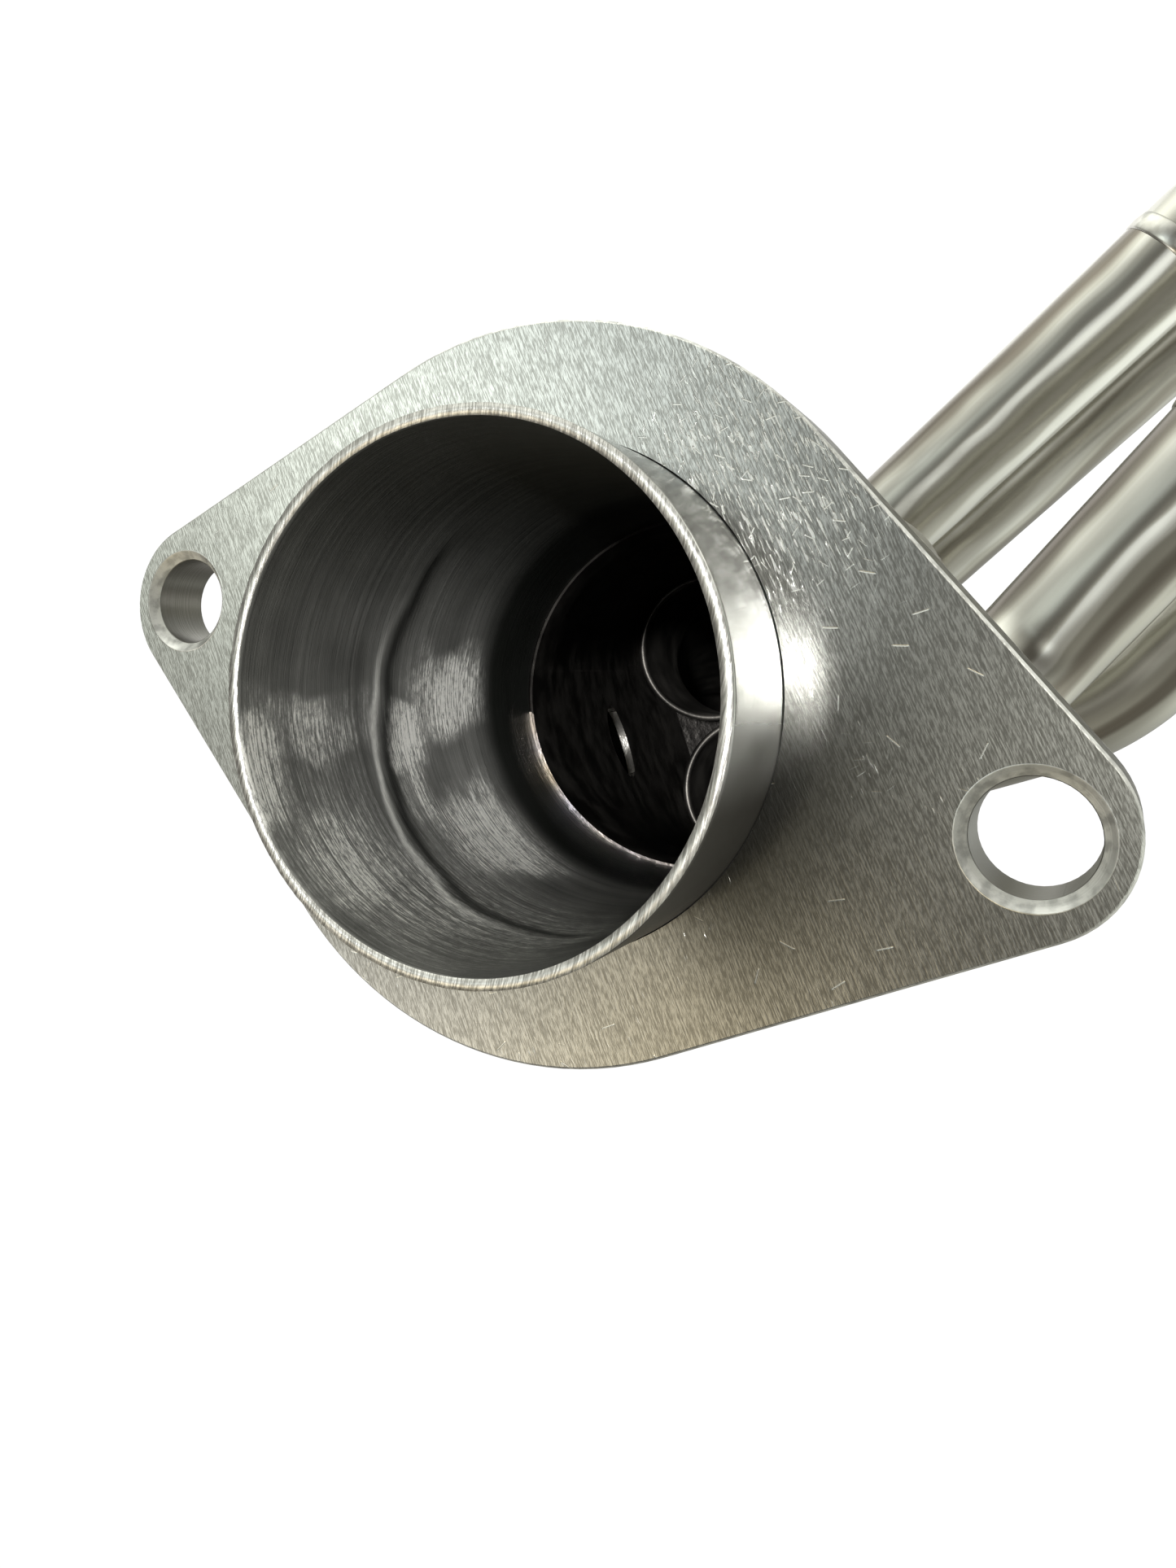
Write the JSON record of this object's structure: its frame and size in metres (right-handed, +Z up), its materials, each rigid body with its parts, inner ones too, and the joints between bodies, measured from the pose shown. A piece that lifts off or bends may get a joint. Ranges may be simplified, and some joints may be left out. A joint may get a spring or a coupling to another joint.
{
  "type": "exhaust manifold",
  "caption": "Welded tubular exhaust manifold: mandrel-bent runners from a flat port flange merge in a collector with an oval bolted outlet flange and a stub pipe.",
  "frame": {"origin": "middle of the port row on the gasket face of the head flange", "axes": "+Z up as installed, +Y out of the gasket face into the cylinder head, +X along the port row away from the collector"},
  "size_m": [0.5349, 0.2359, 0.4477],
  "materials": {
    "plate": "ground stainless plate with fine directional scratches and bright machined edges",
    "tube": "polished thin-wall stainless tube, soft satin reflections",
    "weld": "rippled fusion weld bead, lightly straw tinted",
    "machined": "turned stainless with fine tool rings"
  },
  "bodies": {
    "root": {"head_flange": "plate", "outlet_flange": "plate", "collector_shell": "tube", "outlet_pipe": "tube", "merge_spike": "plate", "sensor_bung": "machined", "runner_1_collector_bend": "tube", "runner_1_port_bend": "tube", "runner_2_collector_bend": "tube", "runner_2_port_bend": "tube", "runner_3_collector_bend": "tube", "runner_3_port_bend": "tube", "runner_4_collector_bend": "tube", "runner_4_port_bend": "tube", "runner_1_seam_weld": "weld", "runner_2_seam_weld": "weld", "runner_3_seam_weld": "weld", "runner_4_seam_weld": "weld", "runner_1_port_weld": "weld", "runner_2_port_weld": "weld", "runner_3_port_weld": "weld", "runner_4_port_weld": "weld", "collector_weld": "weld", "outlet_pipe_seam_weld": "weld", "outlet_flange_weld": "weld", "sensor_bung_weld": "weld"}
  },
  "joints": []
}
